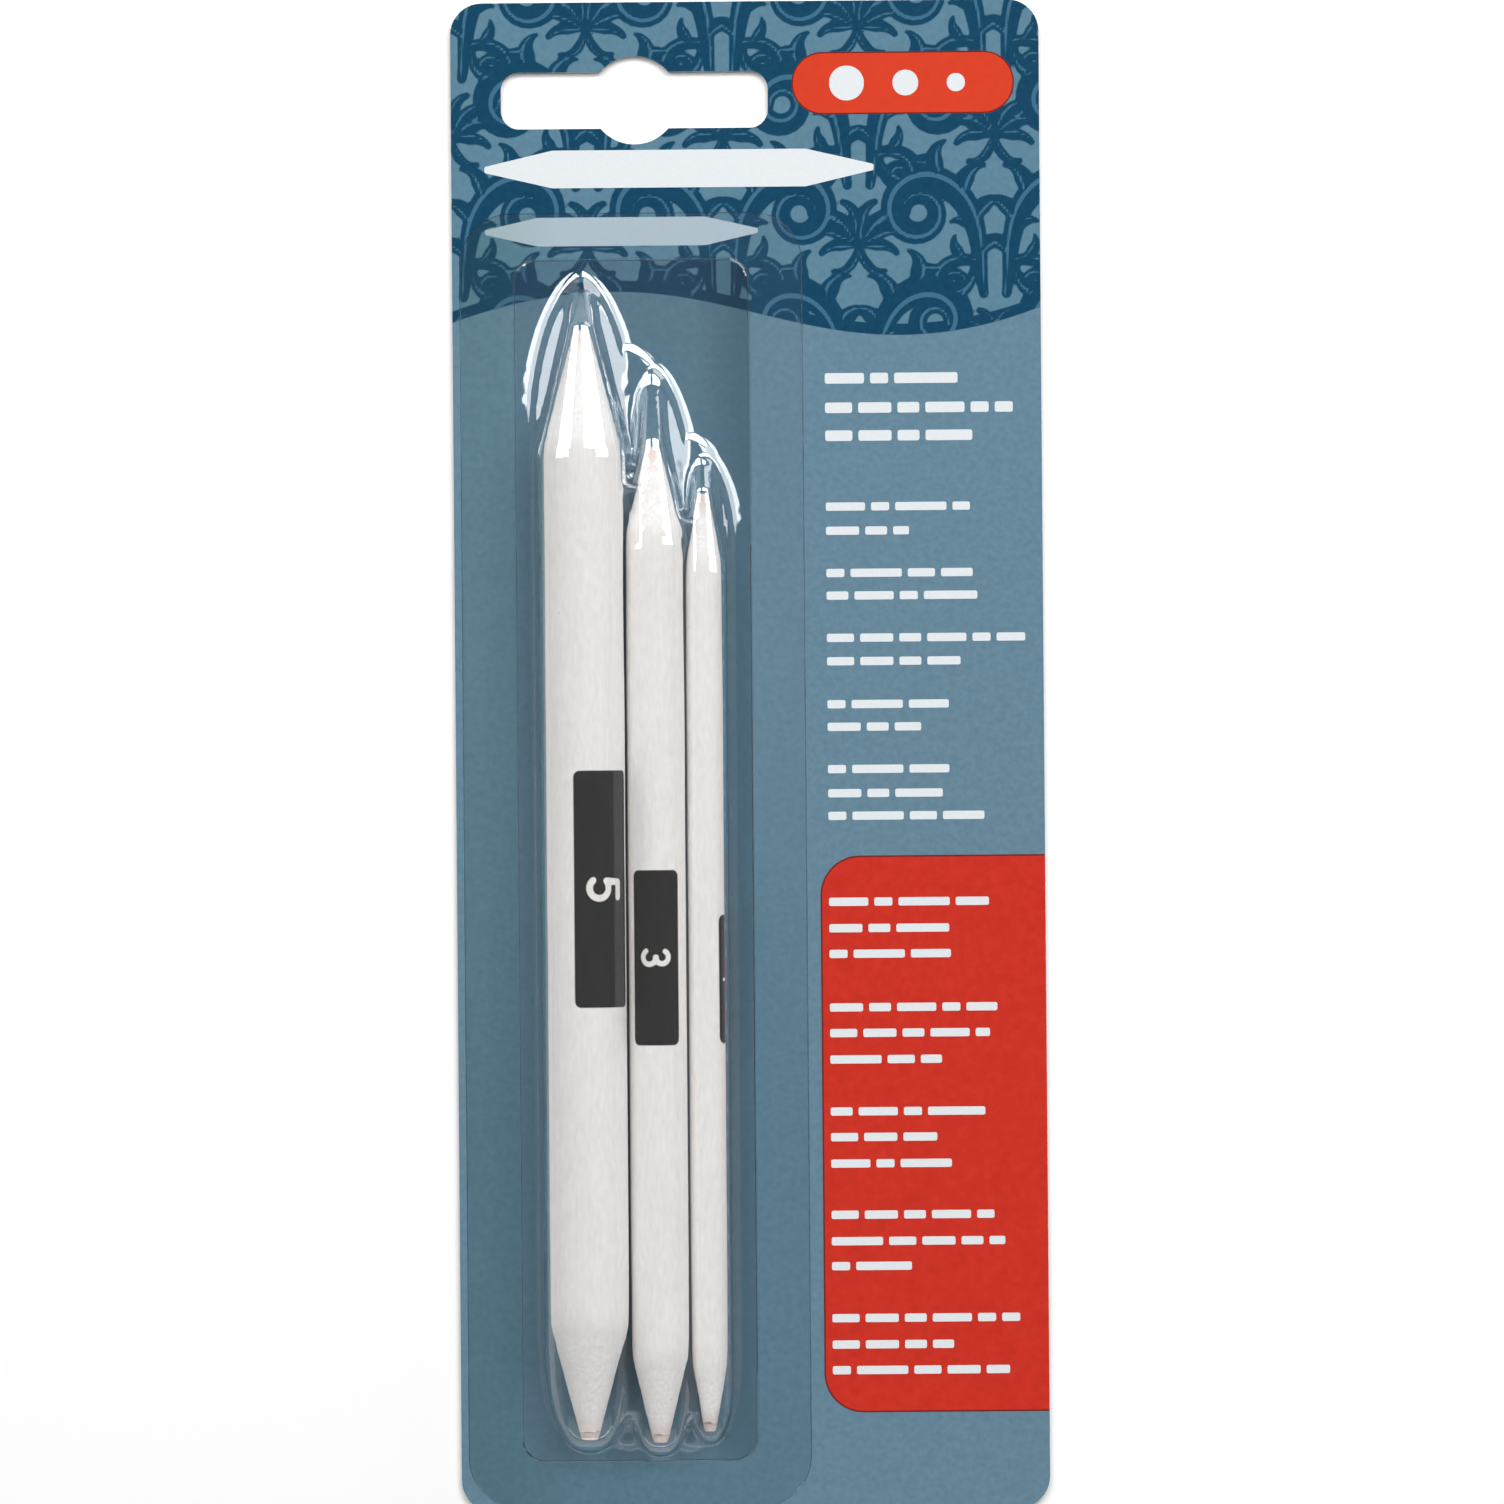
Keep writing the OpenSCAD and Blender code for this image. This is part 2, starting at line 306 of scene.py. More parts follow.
# Coated board: offset ink under a thin matt varnish, faintly mottled like all litho print.
PRINT_EDGE = 0.05
SCROLL_EDGE = 0.08
HEM_BORDER = 1.5
face_paint, tree, shader = new_material("offset_printed_board")
place = add_node(tree, "ShaderNodeTexCoord").outputs["Object"]
mottle = add_node(tree, "ShaderNodeTexNoise", {"Vector": place, "Scale": 1 / (0.8 * MM), "Detail": 4.0})
tones = {}
for part, deep, light in (
        ("field", "#577789", "#6f8fa1"),
        ("header", "#50768a", "#648a9e"),
        ("scroll", "#083a55", "#144a67")):
    tones[part] = add_node(
        tree, "ShaderNodeMix", {0: mottle.outputs["Fac"], 6: linear(deep), 7: linear(light)},
        data_type="RGBA").outputs[2]
masks = {}
for part, distance, none, full in (
        ("header", "hem_mm", -PRINT_EDGE, PRINT_EDGE),
        ("border", "hem_mm", HEM_BORDER + PRINT_EDGE, HEM_BORDER - PRINT_EDGE),
        ("scroll", "scroll_mm", SCROLL_EDGE, -SCROLL_EDGE),
        ("vein", "vein_mm", PRINT_EDGE, -PRINT_EDGE)):
    layer = add_node(tree, "ShaderNodeAttribute", attribute_name=distance)
    masks[part] = add_node(
        tree, "ShaderNodeMapRange",
        {"Value": layer.outputs["Fac"], "From Min": none, "From Max": full}).outputs[0]
ground = add_node(
    tree, "ShaderNodeMix", {0: masks["header"], 6: tones["field"], 7: tones["header"]}, data_type="RGBA")
drawn = add_node(tree, "ShaderNodeMath", {0: masks["scroll"], 1: masks["border"]}, operation="MAXIMUM")
dark = add_node(tree, "ShaderNodeMath", {0: drawn.outputs[0], 1: masks["header"]}, operation="MULTIPLY")
inner = add_node(tree, "ShaderNodeMath", {0: dark.outputs[0], 1: masks["vein"]}, operation="MULTIPLY")
printed = add_node(
    tree, "ShaderNodeMix", {0: dark.outputs[0], 6: ground.outputs[2], 7: tones["scroll"]}, data_type="RGBA")
veined = add_node(
    tree, "ShaderNodeMix", {0: inner.outputs[0], 6: printed.outputs[2], 7: linear("#3e6b86")},
    data_type="RGBA")
tree.links.new(veined.outputs[2], shader.inputs["Base Color"])
shader.inputs["Roughness"].default_value = 0.18
shader.inputs["IOR"].default_value = 1.45


def mottled_paint(name, deep, light, grain, detail, roughness):
    """A material whose colour wanders between two tones over a grain in mm, as (material, shader)."""
    paint, tree, shader = new_material(name)
    place = add_node(tree, "ShaderNodeTexCoord").outputs["Object"]
    speck = add_node(
        tree, "ShaderNodeTexNoise", {"Vector": place, "Scale": 1 / (grain * MM), "Detail": detail})
    tone = add_node(
        tree, "ShaderNodeMix", {0: speck.outputs["Fac"], 6: linear(deep), 7: linear(light)},
        data_type="RGBA")
    tree.links.new(tone.outputs[2], shader.inputs["Base Color"])
    shader.inputs["Roughness"].default_value = roughness
    return paint, shader


# Board edge: the cut pulp layers, white and a little furry.
edge_paint, _ = mottled_paint("cut_board_edge", "#b9c2c6", "#eceae4", 0.4, 4.0, 0.9)

# Bare back: uncoated recycled board, warm grey with darker flecks of old fibre.
back_paint, _ = mottled_paint("bare_grey_board", "#a9a49a", "#d3cfc6", 0.8, 5.0, 0.85)

for paint in (face_paint, edge_paint, back_paint):
    card.data.materials.append(paint)
for face in card.data.polygons:
    face.material_index = 0 if face.normal.z > 0.5 else 2 if face.normal.z < -0.5 else 1


# Inks on the card's face.
# The printed column beside the pocket: plain word-like bars in white, a red panel that runs off the
# right edge, a red tab with three graded dots, and two stump outlines below the hang slot.
INK = 0.008 * MM
ROUND_STEPS = 12
WORDS = (5.2, 2.4, 6.8, 3.6, 4.4, 2.9)
WORD_GAP = 0.8
WORD_LEAST = 1.6
LINE_LEAST = 1.2
LARGE_WORD, LARGE_WORD_CORNER = 1.4, 0.3
SMALL_WORD, SMALL_WORD_CORNER = 1.1, 0.25
COLUMN_LEFT = 10.3
LARGE_LINES = [(49.9, 27.9), (46.0, 35.2), (42.3, 29.8)]
BLUE_LINES = [(32.9, 29.4), (29.7, 21.3), (24.1, 29.7), (21.1, 30.3), (15.5, 36.6), (12.4, 28.0),
              (6.7, 26.4), (3.7, 22.7), (-1.9, 26.4), (-5.1, 25.5), (-8.1, 31.0)]
RED_LINES = [(-19.5, 31.5), (-23.0, 26.2), (-26.4, 26.4), (-33.5, 32.5), (-36.9, 31.5), (-40.4, 25.1),
             (-47.3, 30.8), (-50.7, 24.4), (-54.2, 26.3), (-61.0, 31.9), (-64.5, 33.3), (-67.8, 20.9),
             (-74.7, 35.2), (-78.2, 26.4), (-81.6, 33.8)]
RED_PANEL = (9.4, -87.0, 39.0, -13.6)
PANEL_CORNER = 5.0
PANEL_EDGE = 0.22
PANEL_EDGE_CORNER = 5.2
RED_TAB = (6.4, 85.1, 35.5, 93.0)
TAB_CORNER = 3.9
TAB_EDGE = 0.2
TAB_DOTS = {"large": (13.5, 2.3), "medium": (21.3, 1.7), "small": (28.0, 1.2)}
DOT_MIDDLE = 89.05
DOT_FLAT = 0.05
OUTLINE_BLUNT = 0.16
OUTLINE_ROUND = 0.2


def new_ink(name, deep, light, grain=0.35):
    """Flat printing ink: its film breaks up a little over the board's grain."""
    paint, shader = mottled_paint(name, deep, light, grain, 3.0, 0.18)
    shader.inputs["IOR"].default_value = 1.45
    return paint


def on_card(piece, paint):
    """Gives a printed piece its ink and lets it ride with the card."""
    piece.data.materials.append(paint)
    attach(piece, "pack")


def turn_outwards():
    """Turns all faces of the open piece outwards."""
    bpy.ops.mesh.select_all(action="SELECT")
    bpy.ops.mesh.normals_make_consistent(inside=False)


def lay_ink(piece, paint):
    """Gives the open flat shape the thickness of an ink film and prints it on the card."""
    bpy.ops.mesh.select_all(action="SELECT")
    bpy.ops.mesh.extrude_region_move(TRANSFORM_OT_translate={"value": (0, 0, INK)})
    turn_outwards()
    on_card(set_in_place(piece), paint)


def ink_blocks(name, blocks, corner, level, paint, steps=5):
    """Flat inked blocks (left, low, right, high in mm) with rounded corners, as one printed piece
    over that many other inks."""
    bpy.ops.object.select_all(action="DESELECT")
    for left, low, right, high in blocks:
        place = ((left + right) / 2 * MM, (low + high) / 2 * MM, CARD_TOP + level * INK)
        size = ((right - left) * MM, (high - low) * MM, 1)
        bpy.ops.mesh.primitive_plane_add(size=1, location=place)
        bpy.context.object.scale = size
        bpy.ops.object.transform_apply(location=True, rotation=True, scale=True)
        if bpy.context.object.name != name and name in bpy.data.objects:
            bpy.data.objects[name].select_set(True)
            bpy.context.view_layer.objects.active = bpy.data.objects[name]
            bpy.ops.object.join()
        else:
            bpy.context.object.name = name
    piece = start_piece(name)
    bpy.ops.mesh.select_all(action="SELECT")
    bpy.ops.mesh.bevel(offset=corner * MM, segments=steps, affect="VERTICES")
    lay_ink(piece, paint)


def grown(block, margin):
    """A block with a margin added all round."""
    left, low, right, high = block
    return left - margin, low - margin, right + margin, high + margin


def word_bars(lines, height):
    """Word-like bars that fill each line (middle height and right end in mm)."""
    made, count = [], 0
    for middle, right in lines:
        left = COLUMN_LEFT
        while right - left > LINE_LEAST:
            word = WORDS[count % len(WORDS)]
            stop = left + word if right - left - word > WORD_GAP + WORD_LEAST else right
            made.append((left, middle - height / 2, stop, middle + height / 2))
            left = stop + WORD_GAP
            count += 1
    return made


def red_panel(name, left, low, high, corner, level, paint):
    """A block (in mm) that runs off the card's right edge, with only its left corners rounded."""
    foot = CARD_TOP + level * INK
    piece = round_block(
        name, (left * MM, low * MM, foot), (RED_PANEL[2] * MM, high * MM, foot + INK), corner * MM,
        ROUND_STEPS, left_only=True)
    on_card(piece, paint)


white_ink = new_ink("opaque_white_ink", "#d9dfe3", "#e6eaec")
pale_ink = new_ink("pale_blue_ink", "#a9bac6", "#b9c8d2")
red_ink = new_ink("warm_red_ink", "#bb291f", "#d53928", 1.2)
edge_ink = new_ink("overprint_edge", "#6d2521", "#7a2a24", 1.2)
tab_ink = new_ink("bright_red_ink", "#cf3b23", "#da4328", 1.2)

left, low, _, high = grown(RED_PANEL, PANEL_EDGE)
red_panel("red_panel_edge", left, low, high, PANEL_EDGE_CORNER, 0, edge_ink)
left, low, _, high = RED_PANEL
red_panel("red_panel", left, low, high, PANEL_CORNER, 1, red_ink)
ink_blocks("column_words_large", word_bars(LARGE_LINES, LARGE_WORD), LARGE_WORD_CORNER, 0, white_ink)
ink_blocks("column_words", word_bars(BLUE_LINES, SMALL_WORD), SMALL_WORD_CORNER, 0, white_ink)
ink_blocks("panel_words", word_bars(RED_LINES, SMALL_WORD), SMALL_WORD_CORNER, 2, white_ink)
ink_blocks("red_tab_edge", [grown(RED_TAB, TAB_EDGE)], TAB_CORNER + TAB_EDGE, 0, edge_ink, ROUND_STEPS)
ink_blocks("red_tab", [RED_TAB], TAB_CORNER, 1, tab_ink, ROUND_STEPS)
for size, (middle, r) in TAB_DOTS.items():
    dot = grown((middle, DOT_MIDDLE, middle, DOT_MIDDLE), r)
    ink_blocks(f"tab_dot_{size}", [dot], r - DOT_FLAT, 2, white_ink, ROUND_STEPS)


def stump_outline(name, left, right, middle, half, point, paint):
    """A flat double-pointed stump silhouette (in mm), its points cut blunt."""
    bpy.ops.object.select_all(action="DESELECT")
    bpy.ops.mesh.primitive_circle_add(
        vertices=8, radius=1, fill_type="NGON", location=(0, 0, CARD_TOP))
    piece = start_piece(name)
    upper = [(right, OUTLINE_BLUNT), (right - point, 1), (left + point, 1), (left, OUTLINE_BLUNT)]
    corners = upper + [(x, -share) for x, share in reversed(upper)]
    verts = sorted(
        bmesh.from_edit_mesh(piece.data).verts,
        key=lambda vert: math.atan2(vert.co.y, vert.co.x) % (2 * math.pi))
    for vert, (x, share) in zip(verts, corners):
        vert.co = (x * MM, (middle + share * half) * MM, 0)
    bpy.ops.mesh.bevel(offset=OUTLINE_ROUND * MM, segments=4, affect="VERTICES")
    lay_ink(piece, paint)


stump_outline(
    "heading_stump_large", left=-34.6, right=17.0, middle=77.9, half=2.5, point=9.0, paint=white_ink)
stump_outline(
    "heading_stump_small", left=-34.6, right=1.6, middle=69.6, half=1.9, point=7.0, paint=pale_ink)


# Stumps.
# Soft white paper wound tight round a thin starting roll, pasted along its last edge, then sanded
# to a straight cone at both ends. The turns show on the cones as fine rings.
# Each mark is a black bar, given by its high end, low end, width and turn round the stump.
STUMPS = {
    "large": {"taper": 15.3 * MM, "tip": 2.2 * MM, "core": 2.8 * MM, "head_room": 8.7 * MM,
              "mark": (-1.8 * MM, -33.0 * MM, 8.4 * MM, 30)},
    "medium": {"taper": 11.4 * MM, "tip": 1.9 * MM, "core": 2.4 * MM, "head_room": 12.1 * MM,
               "mark": (-15.0 * MM, -38.1 * MM, 6.7 * MM, -2)},
    "small": {"taper": 9.0 * MM, "tip": 1.5 * MM, "core": 1.9 * MM, "head_room": 6.8 * MM,
              "mark": (-21.0 * MM, -38.0 * MM, 4.2 * MM, 90)},
}
AROUND = 128
CONE_ROWS = 56
BODY_ROWS = 24
BORE_ROWS = 4
MARK_ROW = 0.25 * MM
SHOULDER = 0.25 * MM
PASTE_LINE = 0.02 * MM
SHEET = 0.5 * MM
RING_DEPTH = 0.022 * MM
RING_WIDTH = 0.12
RING_FROM = 0.3 * MM
DENT_DEPTH = 0.018 * MM
DENT_LENGTH = 7.0 * MM
DENT_SINK = 1.2
SANDED_FADE = 2.0
CORE_AROUND = 48
CORE_ROWS = 9
CORE_ROUND = 0.3 * MM
CORE_SLACK = 0.01 * MM
CORE_FRAY = 0.05
FRAY_FROM = 0.1 * MM
FRAY_MOST = 1.02
MARK_CORNER = 0.9
FIGURE_SHARE = 0.52
FIGURE_LINE = 0.2
RUB_REACH = 3.4
RUB_FADE = 2.6


def bow(x, y, r, start, stop):
    """Points along an arc, for a drawn figure."""
    return [(x + r * math.cos(math.radians(t)), y + r * math.sin(math.radians(t)))
            for t in np.linspace(start, stop, 14)]


FIGURES = {
    "large": [[(0.5, 1.0), (-0.42, 1.0), (-0.5, 0.1)],
              [(-0.5, 0.1)] + bow(-0.06, -0.36, 0.62, 118, -140)],
    "medium": [bow(-0.05, 0.5, 0.5, 150, -90), bow(-0.05, -0.48, 0.54, 90, -150)],
    "small": [[(-0.4, 0.55), (0.05, 1.0), (0.05, -1.0)]],
}
axes = {joint["child"]: joint["pos_m"] for joint in frame["joints"]}
for name, stump in STUMPS.items():
    low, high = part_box(f"{name}_stump_core")
    sheet_low, sheet_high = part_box(f"{name}_stump_sheet")
    stump["low"], stump["high"] = low.y, high.y
    stump["axis"] = axes[f"{name}_stump"]
    stump["r"] = (sheet_high.z - sheet_low.z) / 2


def waves(u, v, seed, count=9):
    """Smooth made-up unevenness between about -1 and 1, the same each run."""
    rng = np.random.default_rng(seed)
    total = np.zeros_like(u)
    for _ in range(count):
        k = rng.normal(size=2)
        total += np.sin(k[0] * u + k[1] * v + rng.uniform(0, 2 * math.pi))
    return total / math.sqrt(count)


def place_vertices(piece, points):
    """Sets all vertices of a piece from an array of points."""
    piece.data.vertices.foreach_set("co", np.asarray(points, np.float32).ravel())
    piece.data.update()


def merge_seams(piece):
    """Closes the seams of a rolled-up grid and turns its faces outwards."""
    bpy.context.view_layer.objects.active = piece
    bpy.ops.object.mode_set(mode="EDIT")
    bpy.ops.mesh.select_all(action="SELECT")
    bpy.ops.mesh.remove_doubles(threshold=1e-7)
    turn_outwards()
    bpy.ops.object.mode_set(mode="OBJECT")
    bpy.ops.object.shade_smooth()


def unit_grid(name, across, along):
    """A flat unit grid of that many cells, as (piece, column of each vertex, row of each vertex)."""
    bpy.ops.object.select_all(action="DESELECT")
    bpy.ops.mesh.primitive_grid_add(x_subdivisions=across, y_subdivisions=along, size=1)
    piece = bpy.context.object
    piece.name = name
    piece.data.name = name
    x, y, _ = points_mm(piece) * MM
    return piece, np.rint((x + 0.5) * across).astype(int), np.rint((y + 0.5) * along).astype(int)


# Wound paper: soft, unsized and matt, with fine fibres along the grain and stray dark specks. Its
# cones are sanded to a lighter fluff, partly painted light, and its ends are handled to a faint pink.
paper, tree, shader = new_material("wound_rice_paper")
place = add_node(tree, "ShaderNodeTexCoord").outputs["Object"]
grain = add_node(
    tree, "ShaderNodeMapping",
    {"Vector": place, "Scale": (1 / (0.5 * MM), 1 / (1.6 * MM), 1 / (0.5 * MM))})
fibre = add_node(tree, "ShaderNodeTexNoise", {"Vector": grain.outputs[0], "Scale": 1.0, "Detail": 4.0})
strand = add_node(
    tree, "ShaderNodeMapRange", {"Value": fibre.outputs["Fac"], "From Min": 0.15, "From Max": 0.85})
cloud = add_node(tree, "ShaderNodeTexNoise", {"Vector": place, "Scale": 1 / (6 * MM), "Detail": 2.0})
tone = add_node(
    tree, "ShaderNodeMix", {0: strand.outputs[0], 6: linear("#ece9e6"), 7: linear("#fffdfb")},
    data_type="RGBA")
warmth = add_node(
    tree, "ShaderNodeMix", {0: cloud.outputs["Fac"], 6: linear("#f8f8f8"), 7: linear("#ffffff")},
    data_type="RGBA")
mixed = add_node(
    tree, "ShaderNodeMix", {0: 1.0, 6: tone.outputs[2], 7: warmth.outputs[2]},
    data_type="RGBA", blend_type="MULTIPLY")
sanded = add_node(tree, "ShaderNodeAttribute", attribute_name="sanded")
fluff = add_node(tree, "ShaderNodeTexNoise", {"Vector": place, "Scale": 1 / (0.45 * MM), "Detail": 3.0})
tuft = add_node(
    tree, "ShaderNodeMapRange", {"Value": fluff.outputs["Fac"], "From Min": 0.3, "From Max": 0.7})
# Partly painted light: the sanded fluff is toned a little lighter, making up for the dimmer light on the
# cones.
fluff_and_light = add_node(
    tree, "ShaderNodeMix", {0: tuft.outputs[0], 6: linear("#f0edea"), 7: linear("#ffffff")},
    data_type="RGBA")
bare = add_node(
    tree, "ShaderNodeMix", {0: sanded.outputs["Fac"], 6: mixed.outputs[2], 7: fluff_and_light.outputs[2]},
    data_type="RGBA")
rubbed = add_node(tree, "ShaderNodeAttribute", attribute_name="rubbed")
handled = add_node(
    tree, "ShaderNodeMix", {0: rubbed.outputs["Fac"], 6: bare.outputs[2], 7: linear("#ecdad4")},
    data_type="RGBA")
dust = add_node(tree, "ShaderNodeTexVoronoi", {"Vector": place, "Scale": 1 / (5 * MM)})
speck = add_node(
    tree, "ShaderNodeMapRange",
    {"Value": dust.outputs["Distance"], "From Min": 0.035, "From Max": 0.02, "To Max": 0.45})
specked = add_node(
    tree, "ShaderNodeMix", {0: speck.outputs[0], 6: handled.outputs[2], 7: linear("#6f6a66")},
    data_type="RGBA")
stamped = add_node(tree, "ShaderNodeAttribute", attribute_name="mark_mm")
stamp = add_node(
    tree, "ShaderNodeMapRange", {"Value": stamped.outputs["Fac"], "From Min": 0.07, "From Max": -0.07})
figured = add_node(tree, "ShaderNodeAttribute", attribute_name="figure_mm")
figure = add_node(
    tree, "ShaderNodeMapRange", {"Value": figured.outputs["Fac"], "From Min": -0.06, "From Max": 0.06})
inked = add_node(
    tree, "ShaderNodeMath", {0: stamp.outputs[0], 1: figure.outputs[0]}, operation="MULTIPLY")
marked = add_node(
    tree, "ShaderNodeMix", {0: inked.outputs[0], 6: specked.outputs[2], 7: linear("#0d0c0c")},
    data_type="RGBA")
tree.links.new(marked.outputs[2], shader.inputs["Base Color"])
bump = add_node(
    tree, "ShaderNodeBump", {"Height": fibre.outputs["Fac"], "Strength": 0.35, "Distance": 0.06 * MM})
tree.links.new(bump.outputs[0], shader.inputs["Normal"])
shader.inputs["Roughness"].default_value = 0.95

# Core paper: the same stock, handled and rubbed at the points to a warm pinkish grey.
core_paper, _ = mottled_paint("rubbed_core_paper", "#dfcac4", "#f3e4df", 0.5, 4.0, 0.95)


def rolled_place(stump, reach, along, turn):
    """Points at a reach from the stump's axis, a place along it and a turn round it."""
    x0, _, z0 = stump["axis"]
    return np.stack([x0 + reach * np.sin(turn), along, z0 + reach * np.cos(turn)], axis=1)


def print_mark(name, piece, stump):
    """Keeps each point's distance in mm to the black bar on the sheet and to the figure in it."""
    x0, _, z0 = stump["axis"]
    mark_high, mark_low, mark_w, mark_turn = stump["mark"]
    x, y, z = points_mm(piece)
    turned = np.arctan2(x - x0 / MM, z - z0 / MM) - math.radians(mark_turn)
    arc = ((turned + math.pi) % (2 * math.pi) - math.pi) * stump["r"] / MM
    middle = (mark_high + mark_low) / 2 / MM
    over_x = np.abs(arc) - mark_w / 2 / MM + MARK_CORNER
    over_y = np.abs(y - middle) - (mark_high - mark_low) / 2 / MM + MARK_CORNER
    outside = np.hypot(np.maximum(over_x, 0), np.maximum(over_y, 0))
    keep_values(piece, "mark_mm", outside + np.minimum(np.maximum(over_x, over_y), 0) - MARK_CORNER)
    size = mark_w / MM * FIGURE_SHARE / 2
    figure = [np.column_stack([np.array(line) * size, np.full(len(line), FIGURE_LINE * size)])
              for line in FIGURES[name]]
    digit, _, _ = stroke_field(middle - y, arc, figure)
    keep_values(piece, "figure_mm", digit)


def wound_sheet(name, stump):
    """The sheet, rolled from a flat grid: one way round the core, the other along its section."""
    r, core_r, tip_r = stump["r"], stump["core"] / 2, stump["tip"] / 2
    slope = stump["taper"] / (r - tip_r)
    start = stump["low"] + (core_r - tip_r) * slope
    stop = stump["high"] - (core_r - tip_r) * slope
    cone = np.linspace(0, 1, CONE_ROWS)
    mark_high, mark_low, _, _ = stump["mark"]
    low_y = start + cone * (stump["low"] + stump["taper"] - start)
    high_y = stop - cone[::-1] * (stop - stump["high"] + stump["taper"])
    marked = np.arange(mark_low - MM, mark_high + MM, MARK_ROW)
    y = np.concatenate([low_y, np.linspace(low_y[-1], marked[0], BODY_ROWS)[1:-1], marked,
                        np.linspace(marked[-1], high_y[0], BODY_ROWS)[1:-1], high_y])
    sanded = np.minimum(y - stump["low"], stump["high"] - y) / slope + tip_r
    radius = (sanded + r - np.sqrt((sanded - r) ** 2 + SHOULDER ** 2)) / 2
    y = np.concatenate([y, np.linspace(stop, start, BORE_ROWS)])
    radius = np.concatenate([np.maximum(radius, core_r), np.full(BORE_ROWS, core_r + PASTE_LINE)])
    rows = len(y)
    piece, column, row = unit_grid(f"{name}_stump_paper", AROUND, rows)
    line = row % rows
    turn = 2 * math.pi * column / AROUND
    reach, along, shown = radius[line], y[line], line < rows - BORE_ROWS
    layer = (r - reach) / SHEET + turn / (2 * math.pi)
    ring = np.exp(-((layer - np.rint(layer)) / RING_WIDTH) ** 2) * RING_DEPTH * (reach < r - RING_FROM)
    dents = (waves(np.cos(turn) * 3, along / DENT_LENGTH, 5)
             + waves(np.sin(turn) * 3, along / DENT_LENGTH, 6))
    reach = reach + shown * (DENT_DEPTH * (dents - DENT_SINK) - ring)
    place_vertices(piece, rolled_place(stump, reach, along, turn))
    merge_seams(piece)
    print_mark(name, piece, stump)
    _, along, _ = points_mm(piece)
    off_end = np.minimum(along - stump["low"] / MM, stump["high"] / MM - along)
    keep_values(piece, "sanded", np.clip((stump["taper"] / MM - off_end) / SANDED_FADE, 0, 1))
    keep_values(piece, "rubbed", np.clip((RUB_REACH - off_end) / RUB_FADE, 0, 1))
    piece.data.materials.append(paper)
    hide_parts(f"{name}_stump_sheet")
    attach(piece, f"{name}_stump")


def starting_roll(name, stump):
    """The core: a thin rod whose two ends are sanded with the sheet and rubbed round."""
    r, core_r, tip_r = stump["r"], stump["core"] / 2, stump["tip"] / 2
    cone_l = (core_r - tip_r) * stump["taper"] / (r - tip_r)
    end = np.linspace(0, 1, CORE_ROWS) * math.pi / 2
    end_y = np.concatenate([
        [0], CORE_ROUND * (1 - np.cos(end)), np.linspace(CORE_ROUND, cone_l, CORE_ROWS)[1:]])
    end_r = np.concatenate([
        [0], tip_r - CORE_ROUND + CORE_ROUND * np.sin(end), np.linspace(tip_r, core_r, CORE_ROWS)[1:]])
    y = np.concatenate([stump["low"] + end_y, (stump["high"] - end_y)[::-1]])
    radius = np.concatenate([end_r, end_r[::-1]]) - CORE_SLACK
    piece, column, row = unit_grid(f"{name}_stump_roll", CORE_AROUND, len(y) - 1)
    turn = 2 * math.pi * column / CORE_AROUND
    worn = radius[row] < core_r - FRAY_FROM
    frayed = 1 + CORE_FRAY * waves(np.cos(turn) * 4, np.sin(turn) * 4, 11) * worn
    reach = np.maximum(radius[row], 0) * np.minimum(frayed, FRAY_MOST)
    place_vertices(piece, rolled_place(stump, reach, y[row], turn))
    merge_seams(piece)
    piece.data.materials.append(core_paper)
    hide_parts(f"{name}_stump_core")
    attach(piece, f"{name}_stump")


for name, stump in STUMPS.items():
    starting_roll(name, stump)
    wound_sheet(name, stump)


# Blister.
# Clear PET film, heated and drawn over a mould of three arches on a shared skirt and a low ledge.
# The flat rim that is left is heat-sealed to the card.
FILM = 0.25 * MM
FILM_FOOT = CARD_TOP + 0.02 * MM
VOXEL = 0.445 * MM
MERGE = 0.06 * MM

# The mould: room round each stump, the bands of the skirt, and the bodies that bridge two pockets.
ARCH_ROOM = 0.45 * MM
SKIRT_ROOM = 2.95 * MM
HEEL_ROOM = {"large": 2.1 * MM, "medium": 2.2 * MM, "small": 1.9 * MM}
END_SETBACK = 0.3 * MM
LOW_STEEP = 0.3
NOSE_SETBACK = 2.4 * MM
NOSE_LEAD = 1.0 * MM
TIP_ROOM = 0.75 * MM
LEDGE_TOP = CARD_TOP + 0.8 * MM
SKIRT_BANDS = [(0.0, 0.0), (0.12 * MM, 0.05 * MM), (0.41 * MM, 1.55 * MM), (0.9 * MM, 1.75 * MM)]
WEB_BANDS = [(0.0, 0.0), (0.12 * MM, 0.05 * MM), (0.46 * MM, 1.05 * MM)]
SHELF_END = 0.4 * MM
HEELS = [(-16.6 * MM, 5.6 * MM, -91.9 * MM), (-8.9 * MM, 4.6 * MM, -92.1 * MM)]
HEEL_NOSE = 4.0 * MM
WEBS = [(-18.85 * MM, 7.5 * MM, 55.6 * MM, 5.8 * MM), (-9.75 * MM, 5.6 * MM, 43.5 * MM, 4.4 * MM)]
SPAN_BODY = 20.0 * MM
SPAN_END = 30.0 * MM
VALLEYS = [
    (-17.2, -14.0, [(-89.5, 2.0, 2.0), (-86.5, 8.2, 7.8), (-80.0, 10.3, 8.8), (27.0, 10.3, 8.8),
                    (35.5, 10.0, 6.9), (37.0, 2.0, 2.0)]),
    (-9.5, -7.0, [(-89.0, 2.0, 2.0), (-86.5, 7.3, 5.5), (-81.0, 8.1, 6.0), (24.5, 8.1, 6.0),
                  (31.0, 7.2, 4.9), (32.2, 2.0, 2.0)])]
VALLEY_FOOT = 1.5

